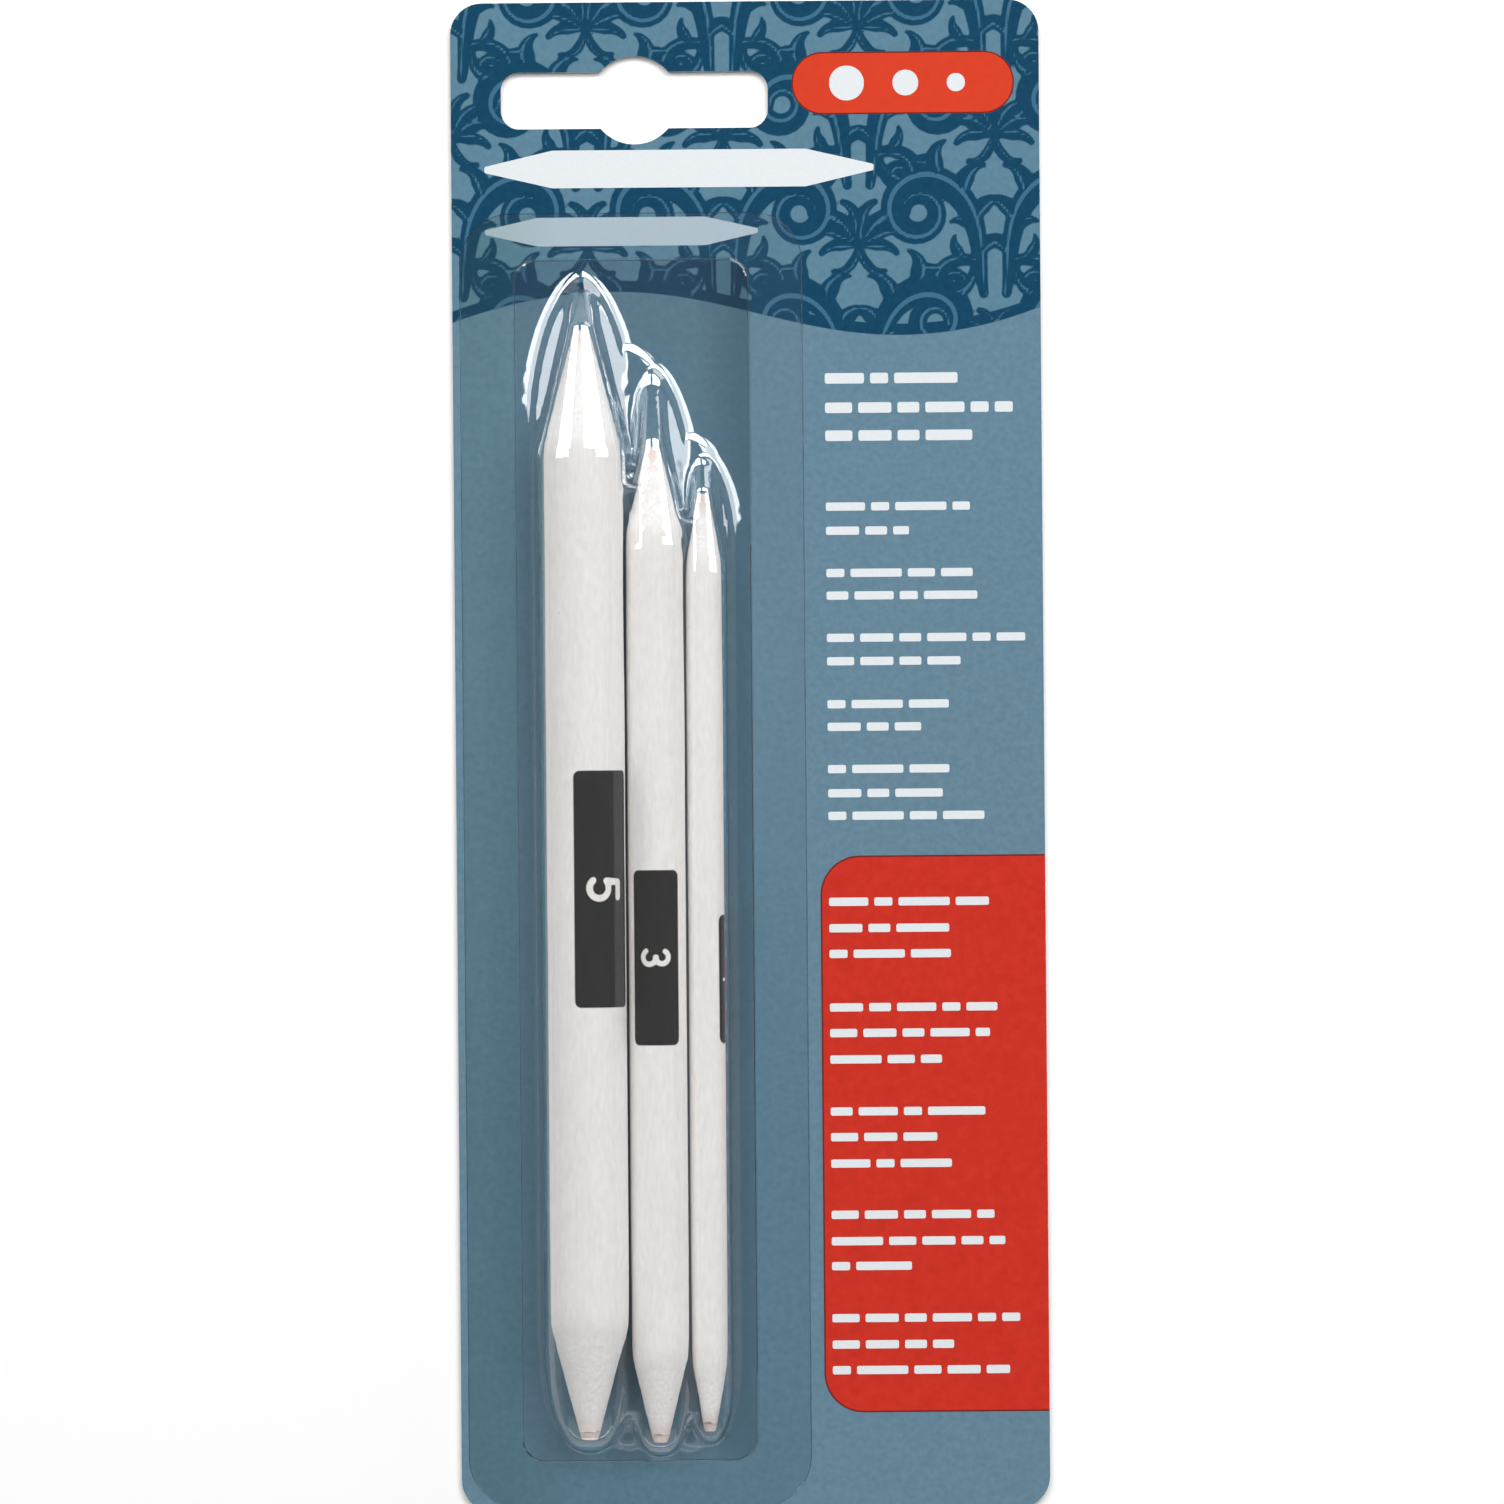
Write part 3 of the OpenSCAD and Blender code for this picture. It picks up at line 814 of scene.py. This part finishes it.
# How the mould's noses, crowns and walls run.
NOSE_ROWS, STRAIGHT_ROWS, POINT_ROWS, ARCH_AROUND = 26, 10, 16, 96
NOSE_FOOT = 2.9 * MM
NOSE_FALL = 30
RIDGE_TOP = LEDGE_TOP + 0.9 * MM
SHELF_SLOPE = 0.23
WEB_SLOPE = 0.12
WALL_FLARE = 0.12
PLAN_POINT = 0.625
HEEL_BEND = 3.2
HEEL_POINT = 0.55
CROWN_BEND = 2.6
ARCH_SQUARE = 0.72
CROWN_POINT = 0.6

# The plate that the ledge is trimmed from, the ledge's wall (out, down) and the sealed flange.
PLATE_MARGIN = 2.5 * MM
PLATE_FOOT = -1.5 * MM
PLATE_CORNER = 0.3 * MM
LEDGE_BELOW = 0.3 * MM
LEDGE_FACETS = 4
LEDGE_CORNER = 3.0 * MM
LEDGE_WALL = [(0.10 * MM, -0.085 * MM), (0.18 * MM, -0.53 * MM), (0.18 * MM, -0.165 * MM)]
FLANGE_CORNER = 6.8 * MM
RIM_BEVEL = 0.17 * MM
RIM_NEAR = 0.03 * MM
FLANGE_SIDE = 7.1 * MM
FLANGE_END = 6.2 * MM
film_low, film_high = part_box("blister")
ledge_low = (film_low.x + FLANGE_SIDE + FILM, film_low.y + FLANGE_END + FILM)
ledge_high = (film_high.x - FLANGE_SIDE - FILM, film_high.y - FLANGE_END - FILM)


def stacked_form(name, levels, sides=128):
    """A mould body built up from plan outlines: a disc is extruded level by level and then each
    level takes its outline (height, middle x, half width, low end, low nose, high end, high nose)."""
    bpy.ops.object.select_all(action="DESELECT")
    bpy.ops.mesh.primitive_circle_add(vertices=sides, radius=1, fill_type="NGON")
    piece = start_piece(name)
    for _ in levels[1:]:
        bpy.ops.mesh.extrude_region_move(TRANSFORM_OT_translate={"value": (0, 0, 1)})
    for vert in bmesh.from_edit_mesh(piece.data).verts:
        height, middle, half, low, low_nose, high, high_nose = levels[round(vert.co.z)]
        across = math.copysign(abs(vert.co.x) ** (2 * PLAN_POINT), vert.co.x)
        along = vert.co.y
        nose_y = high - high_nose * (1 - along) if along > 0 else low + low_nose * (1 + along)
        vert.co = (middle + half * across, nose_y, height)
    turn_outwards()
    return set_in_place(piece)


def arch_body(name, x0, z0, reach, low_end, low_shoulder, high_shoulder, tip, tip_reach, high_end):
    """A mould arch along Y: a bullet nose at the lower end, straight over the stump's body, a cone over
    the upper point and a low ridge that runs out in front of it."""
    nose = np.sin(np.linspace(0, math.pi / 2, NOSE_ROWS))
    low, cone, ridge = nose[::-1], np.linspace(0, 1, POINT_ROWS), nose[2:]
    y = np.concatenate([low_shoulder - (low_shoulder - low_end) * low,
                        np.linspace(low_shoulder, high_shoulder, STRAIGHT_ROWS + 2)[1:-1],
                        high_shoulder + (tip - high_shoulder) * cone,
                        tip + (high_end - tip) * ridge])
    half = np.concatenate([reach * (1 - low ** HEEL_BEND) ** HEEL_POINT, np.full(STRAIGHT_ROWS, reach),
                           reach + (tip_reach - reach) * cone,
                           tip_reach * np.sqrt(np.maximum(1 - ridge ** 2, 0))])
    low_base = z0 - max(z0 - NOSE_FOOT, 0) * low ** NOSE_FALL
    ridge_top = RIDGE_TOP + (z0 + tip_reach - RIDGE_TOP) * (1 - ridge)
    base = np.concatenate([
        low_base, np.full(STRAIGHT_ROWS + POINT_ROWS, z0), ridge_top - half[-len(ridge):]])
    lift = np.concatenate([reach * (1 - low ** CROWN_BEND) ** CROWN_POINT, half[len(low):]])
    piece, column, row = unit_grid(name, ARCH_AROUND, len(y) - 1)
    turn = 2 * math.pi * column / ARCH_AROUND
    upper = column <= ARCH_AROUND // 2
    path = np.clip((turn - math.pi) / math.pi, 0, 1)
    drop = np.clip(np.minimum(path, 1 - path) * 3, 0, 1) * (base[row] + MM)
    side = np.where(path < 0.5, -1, 1) * np.clip(np.abs(path - 0.5) * 6, 0, 1)
    round_x = np.sign(np.cos(turn)) * np.abs(np.cos(turn)) ** ARCH_SQUARE
    x = np.where(upper, half[row] * round_x, side * (half[row] + WALL_FLARE * drop))
    z = np.where(upper, base[row] + lift[row] * np.abs(np.sin(turn)) ** ARCH_SQUARE, base[row] - drop)
    place_vertices(piece, np.stack([x0 + x, y[row], z], axis=1))
    merge_seams(piece)
    bpy.ops.object.mode_set(mode="EDIT")
    bpy.ops.mesh.select_all(action="SELECT")
    bpy.ops.mesh.fill_holes(sides=0)
    turn_outwards()
    return set_in_place(piece)


def skirt_body(name, middle, half, low_end, low_shoulder, high_shoulder, high_end, bands=SKIRT_BANDS,
               slope=SHELF_SLOPE):
    """A mould skirt: a low sloping foot, a short step and a shelf that climbs towards the arch. The bands
    of a web leave out the step."""
    rise, inset = bands[-1]
    top = half - SHELF_END
    shelf = (rise + (top - inset) * slope, top)
    levels = []
    for rise, inset in [(-MM - LEDGE_TOP, 0.0)] + bands + [shelf]:
        low = low_end + LOW_STEEP * inset
        levels.append((LEDGE_TOP + rise, middle, half - inset, low, low_shoulder - low,
                       high_end - inset, high_end - high_shoulder - inset))
    return stacked_form(name, levels)


def valley_body(name, left, right, sections):
    """A mould filler between two arches: film can't be drawn into so narrow a groove, and hangs from
    arch to arch. A strip is extruded along Y and each section takes its two top heights, in mm."""
    bpy.ops.object.select_all(action="DESELECT")
    bpy.ops.mesh.primitive_plane_add(size=2, rotation=(math.pi / 2, 0, 0))
    bpy.ops.object.transform_apply(location=False, rotation=True, scale=False)
    piece = start_piece(name)
    for _ in sections[1:]:
        bpy.ops.mesh.extrude_region_move(TRANSFORM_OT_translate={"value": (0, 1, 0)})
    for vert in bmesh.from_edit_mesh(piece.data).verts:
        y, left_top, right_top = sections[round(vert.co.y)]
        x, top = (left, left_top) if vert.co.x < 0 else (right, right_top)
        vert.co = (x * MM, y * MM, (top if vert.co.z > 0 else VALLEY_FOOT) * MM)
    turn_outwards()
    return set_in_place(piece)


mould = []
for name, stump in STUMPS.items():
    x0, _, z0 = stump["axis"]
    low_shoulder = stump["low"] + stump["taper"]
    high_shoulder = stump["high"] - stump["taper"]
    low_end = stump["low"] - HEEL_ROOM[name]
    high_end = stump["high"] + stump["head_room"] - FILM
    mould.append(arch_body(f"{name}_arch", x0, z0, stump["r"] + ARCH_ROOM, low_end + END_SETBACK,
                           low_shoulder, high_shoulder - NOSE_LEAD, stump["high"] + TIP_ROOM,
                           stump["tip"] / 2 + ARCH_ROOM, high_end - NOSE_SETBACK))
    mould.append(skirt_body(f"{name}_skirt", x0, stump["r"] + SKIRT_ROOM, low_end, low_shoulder,
                            high_shoulder, high_end))
for left, right, sections in VALLEYS:
    mould.append(valley_body("valley", left, right, sections))
for middle, half, low_end in HEELS:
    mould.append(skirt_body("heel", middle, half, low_end, low_end + HEEL_NOSE,
                            low_end + SPAN_BODY, low_end + SPAN_END))
for middle, half, high_end, length in WEBS:
    mould.append(skirt_body("web", middle, half, high_end - SPAN_END, high_end - SPAN_BODY,
                            high_end - length, high_end, WEB_BANDS, WEB_SLOPE))
mould.append(round_block(
    "plate", (ledge_low[0] - PLATE_MARGIN, ledge_low[1] - PLATE_MARGIN, PLATE_FOOT),
    (ledge_high[0] + PLATE_MARGIN, ledge_high[1] + PLATE_MARGIN, LEDGE_TOP), PLATE_CORNER))

bpy.ops.object.select_all(action="DESELECT")
for part in mould:
    part.select_set(True)
film = mould[0]
bpy.context.view_layer.objects.active = film
bpy.ops.object.join()
film.name = film.data.name = "blister_film"
skin = film.modifiers.new("skin", "REMESH")
skin.mode = "VOXEL"
skin.voxel_size = VOXEL
bpy.ops.object.modifier_apply(modifier=skin.name)
relax = film.modifiers.new("relax", "SMOOTH")
relax.factor = 0.5
relax.iterations = 2
bpy.ops.object.modifier_apply(modifier=relax.name)

bpy.ops.object.mode_set(mode="EDIT")
ledge_middle = [(ledge_low[i] + ledge_high[i]) / 2 for i in (0, 1)]
ledge_half = [(ledge_high[i] - ledge_low[i]) / 2 for i in (0, 1)]


def trim(turn, corner):
    """Cuts the plate along a line that touches the ledge's rounded outline at a turn from +X."""
    way = (math.cos(turn), math.sin(turn))
    side = [math.copysign(1, corner[i]) * (ledge_half[i] - LEDGE_CORNER) for i in (0, 1)]
    point = [ledge_middle[i] + side[i] + LEDGE_CORNER * way[i] for i in (0, 1)]
    bpy.ops.mesh.select_all(action="SELECT")
    bpy.ops.mesh.bisect(plane_co=(*point, 0), plane_no=(*way, 0), clear_outer=True, threshold=1e-6)


def select_below(piece, height):
    """Selects the faces of the open piece whose middle lies below a height."""
    mesh = bmesh.from_edit_mesh(piece.data)
    bpy.ops.mesh.select_all(action="DESELECT")
    bpy.ops.mesh.select_mode(type="FACE")
    for face in mesh.faces:
        face.select_set(face.calc_center_median().z < height)
    bmesh.update_edit_mesh(piece.data)


for step in range(4 * LEDGE_FACETS):
    turn = math.radians(90 / LEDGE_FACETS * step)
    trim(turn, (math.cos(turn + 1e-3), math.sin(turn + 1e-3)))
select_below(film, LEDGE_TOP - LEDGE_BELOW)
bpy.ops.mesh.delete(type="FACE")
bpy.ops.mesh.select_all(action="SELECT")
bpy.ops.mesh.remove_doubles(threshold=MERGE)
bpy.ops.mesh.select_mode(type="EDGE")
bpy.ops.mesh.select_all(action="DESELECT")
bpy.ops.mesh.select_non_manifold(
    extend=False, use_wire=False, use_boundary=True, use_multi_face=False, use_non_contiguous=False)
for out, down in LEDGE_WALL:
    bpy.ops.mesh.extrude_edges_move()
    for vert in bmesh.from_edit_mesh(film.data).verts:
        if vert.select:
            away = [vert.co[i] - ledge_middle[i] for i in (0, 1)]
            past = [max(abs(away[i]) - ledge_half[i] + LEDGE_CORNER, 0.0) for i in (0, 1)]
            scale = out / max(math.hypot(*past), 1e-9)
            vert.co.x += math.copysign(past[0] * scale, away[0])
            vert.co.y += math.copysign(past[1] * scale, away[1])
            vert.co.z += down
    bmesh.update_edit_mesh(film.data)
bpy.ops.mesh.extrude_edges_move()
flange_middle = [(film_low[i] + film_high[i]) / 2 for i in (0, 1)]
flange_half = [(film_high[i] - film_low[i]) / 2 for i in (0, 1)]
foot_half = [half + sum(out for out, _ in LEDGE_WALL) for half in ledge_half]
straight = [half - FLANGE_CORNER for half in flange_half]
for vert in bmesh.from_edit_mesh(film.data).verts:
    if not vert.select:
        continue
    reach = [(vert.co[i] - ledge_middle[i]) / foot_half[i] * flange_half[i] for i in (0, 1)]
    past = [abs(reach[i]) - straight[i] for i in (0, 1)]
    if min(past) > 0:
        pull = FLANGE_CORNER / max(math.hypot(*past), 1e-9)
        reach = [math.copysign(straight[i] + past[i] * pull, reach[i]) for i in (0, 1)]
    vert.co = (flange_middle[0] + reach[0], flange_middle[1] + reach[1], FILM_FOOT)
bmesh.update_edit_mesh(film.data)
turn_outwards()
bpy.ops.object.mode_set(mode="OBJECT")
wall = film.modifiers.new("wall", "SOLIDIFY")
wall.thickness = FILM
wall.offset = 1
bpy.ops.object.modifier_apply(modifier=wall.name)
bpy.ops.object.mode_set(mode="EDIT")
bpy.ops.mesh.select_mode(type="EDGE")
bpy.ops.mesh.select_all(action="DESELECT")


def rim_gap(point):
    """The distance past the flange's outline, below zero inside it."""
    past = [abs(point[i] - flange_middle[i]) - flange_half[i] + FLANGE_CORNER for i in (0, 1)]
    return math.hypot(max(past[0], 0), max(past[1], 0)) + min(max(past), 0) - FLANGE_CORNER


for edge in bmesh.from_edit_mesh(film.data).edges:
    edge.select_set(all(abs(rim_gap(vert.co)) < RIM_NEAR and vert.co.z > FILM_FOOT + 0.9 * FILM
                        for vert in edge.verts))
bmesh.update_edit_mesh(film.data)
bpy.ops.mesh.bevel(offset=RIM_BEVEL, segments=1, affect="EDGES")
for face in bmesh.from_edit_mesh(film.data).faces:
    face.material_index = int(all(rim_gap(vert.co) > -1.2 * RIM_BEVEL for vert in face.verts))
bmesh.update_edit_mesh(film.data)
bpy.ops.object.mode_set(mode="OBJECT")
bpy.ops.object.shade_smooth_by_angle(angle=math.radians(35))

# Thermoformed PET: water-clear and glossy, with the slight waviness that drawing leaves. Its tint
# carries painted shade: greyer over the ledge, most on the pocket's right, and darker on the seal
# left of and below the pocket; over the crowns it clears.
clear_film, tree, shader = new_material("thermoformed_clear_film")
place = add_node(tree, "ShaderNodeTexCoord").outputs["Object"]
sway = add_node(tree, "ShaderNodeTexNoise", {"Vector": place, "Scale": 1 / (5 * MM), "Detail": 1.0})
bump = add_node(
    tree, "ShaderNodeBump", {"Height": sway.outputs["Fac"], "Strength": 0.2, "Distance": 0.2 * MM})
tree.links.new(bump.outputs[0], shader.inputs["Normal"])
spot = add_node(tree, "ShaderNodeSeparateXYZ", {0: place})
zones = {}
for zone, axis, none, full in (
        ("formed", "Z", 0.9, 1.4), ("crown", "Z", 4, 6), ("ledge_right", "X", -7, -1),
        ("seal_left", "X", -25, -33), ("seal_low", "Y", 10, -50)):
    zones[zone] = add_node(
        tree, "ShaderNodeMapRange",
        {"Value": spot.outputs[axis], "From Min": none * MM, "From Max": full * MM}).outputs[0]
# Painted shade: the card under the ledge is tinted greyer, most on the pocket's right, where the stumps
# keep off the light.
ledge = add_node(
    tree, "ShaderNodeMix", {0: zones["ledge_right"], 6: linear("#e4eaee"), 7: linear("#c4cfd3")},
    data_type="RGBA")
# Painted shade: the seal is tinted darker left of the pocket, as the light falls from the right.
seal = add_node(
    tree, "ShaderNodeMix", {0: zones["seal_left"], 6: linear("#f9fbfc"), 7: linear("#e8f0eb")},
    data_type="RGBA")
# Painted shade: a little darker again below the pocket, as the light falls from above.
sealed = add_node(
    tree, "ShaderNodeMix", {0: zones["seal_low"], 6: seal.outputs[2], 7: linear("#ebf1f4")},
    data_type="RGBA", blend_type="MULTIPLY")
# The formed part of the film takes the ledge's painted shade.
formed = add_node(
    tree, "ShaderNodeMix", {0: zones["formed"], 6: sealed.outputs[2], 7: ledge.outputs[2]},
    data_type="RGBA")
# Over the crowns the painted shade clears to a nearly clear tint.
clear = add_node(
    tree, "ShaderNodeMix", {0: zones["crown"], 6: formed.outputs[2], 7: linear("#fcfcfc")},
    data_type="RGBA")
tree.links.new(clear.outputs[2], shader.inputs["Base Color"])
shader.inputs["Roughness"].default_value = 0.04
shader.inputs["IOR"].default_value = 1.6
tree.links.new(zones["formed"], shader.inputs["Coat Weight"])
shader.inputs["Coat IOR"].default_value = 1.65
shader.inputs["Coat Roughness"].default_value = 0.03
shader.inputs["Transmission Weight"].default_value = 1.0
film.data.materials.append(clear_film)

# The cut edge of the film: its grey tint is painted shade, the fine dark line of the sheet seen edge on.
cut_edge, shader = mottled_paint("cut_film_edge", "#6f828c", "#a9b8c0", 6, 1.0, 0.3)
shader.inputs["IOR"].default_value = 1.45
shader.inputs["Transmission Weight"].default_value = 1.0
film.data.materials.append(cut_edge)

# So clear a film neither shades the stumps nor stops the light that the card throws back.
film.visible_shadow = False
film.visible_diffuse = False
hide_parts("blister")
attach(film, "pack")


# Studio.
# A white paper sweep under the pack, soft panels hung over and beyond its upper edge, dim walls all
# round and a thin strip of light on the near side. The camera looks straight down.
SWEEP_SIZE = 6.0
SWEEP_DROP = 0.2 * MM
PANEL_HEIGHT = 1.6
WALL_HEIGHT = 0.55
WORLD_FILL = 0.09
CAMERA_HEIGHT = 1.2
CAMERA_SENSOR = 36
VIEW_WIDTH = 199.4 * MM
VIEW_MIDDLE = (0.25 * MM, 0.46 * MM)
PACK_LEAN = math.radians(0.47)
bpy.ops.object.select_all(action="DESELECT")
bpy.ops.mesh.primitive_plane_add(size=SWEEP_SIZE, location=(0, 0, -SWEEP_DROP))
floor = bpy.context.object
floor.name = "white_sweep"
sweep, tree, shader = new_material("white_paper_sweep")
shader.inputs["Base Color"].default_value = linear("#fdfdfd")
shader.inputs["Roughness"].default_value = 0.9
floor.data.materials.append(sweep)
floor.visible_glossy = False


def soft_panel(name, middle, size, radiance, tilt=0, turn=0):
    """A flat soft lamp (in m): it faces straight down, or is tipped up and turned to face the pack."""
    lamp = bpy.data.lights.new(name, "AREA")
    lamp.shape = "RECTANGLE"
    lamp.size, lamp.size_y = size
    lamp.energy = radiance * math.pi * size[0] * size[1]
    holder = bpy.data.objects.new(name, lamp)
    holder.location = middle
    holder.rotation_euler = (math.radians(tilt), 0, math.radians(turn))
    bpy.context.scene.collection.objects.link(holder)


soft_panel("far_right", (0.9125, 1.29, PANEL_HEIGHT), (1.815, 0.82), 7.7)
soft_panel("far_left", (-1.05, 1.29, PANEL_HEIGHT), (1.30, 0.82), 7.0)
soft_panel("near_right_bright", (0.62, 0.47, PANEL_HEIGHT), (0.36, 0.54), 4.9)
soft_panel("near_right", (1.31, 0.54, PANEL_HEIGHT), (1.02, 0.68), 2.85)
soft_panel("near_left_bright", (-0.65, 0.47, PANEL_HEIGHT), (0.40, 0.54), 4.7)
soft_panel("near_left", (-1.275, 0.54, PANEL_HEIGHT), (0.85, 0.68), 2.85)
soft_panel("far_wall_right", (1.3, 1.7, WALL_HEIGHT), (1.8, 1.0), 2.6, -90)
soft_panel("far_wall_left", (-1.3, 1.7, WALL_HEIGHT), (1.8, 1.0), 0.4, -90)
soft_panel("near_strip", (0.0, -1.7, 0.3), (3.0, 0.05), 4.0, 90)
soft_panel("near_wall", (0.0, -1.7, 0.85), (3.0, 0.9), 0.2, 90)
soft_panel("right_wall", (2.0, 0.0, WALL_HEIGHT), (3.4, 1.0), 0.15, 90, 90)
soft_panel("left_wall", (-2.0, 0.0, WALL_HEIGHT), (3.4, 1.0), 0.1, 90, -90)

world = bpy.data.worlds.new("studio")
world.use_nodes = True
world.node_tree.nodes["Background"].inputs["Color"].default_value = linear("#ffffff")
world.node_tree.nodes["Background"].inputs["Strength"].default_value = WORLD_FILL
bpy.context.scene.world = world

lens = bpy.data.cameras.new("camera")
lens.sensor_width = CAMERA_SENSOR
lens.lens = CAMERA_SENSOR * (CAMERA_HEIGHT - CARD_TOP) / VIEW_WIDTH
lens.clip_start, lens.clip_end = 0.01, 20
camera = bpy.data.objects.new("camera", lens)
camera.location = (*VIEW_MIDDLE, CAMERA_HEIGHT)
camera.rotation_euler = (0, 0, -PACK_LEAN)
bpy.context.scene.collection.objects.link(camera)
bpy.context.scene.camera = camera
bpy.context.scene.view_settings.view_transform = "Standard"
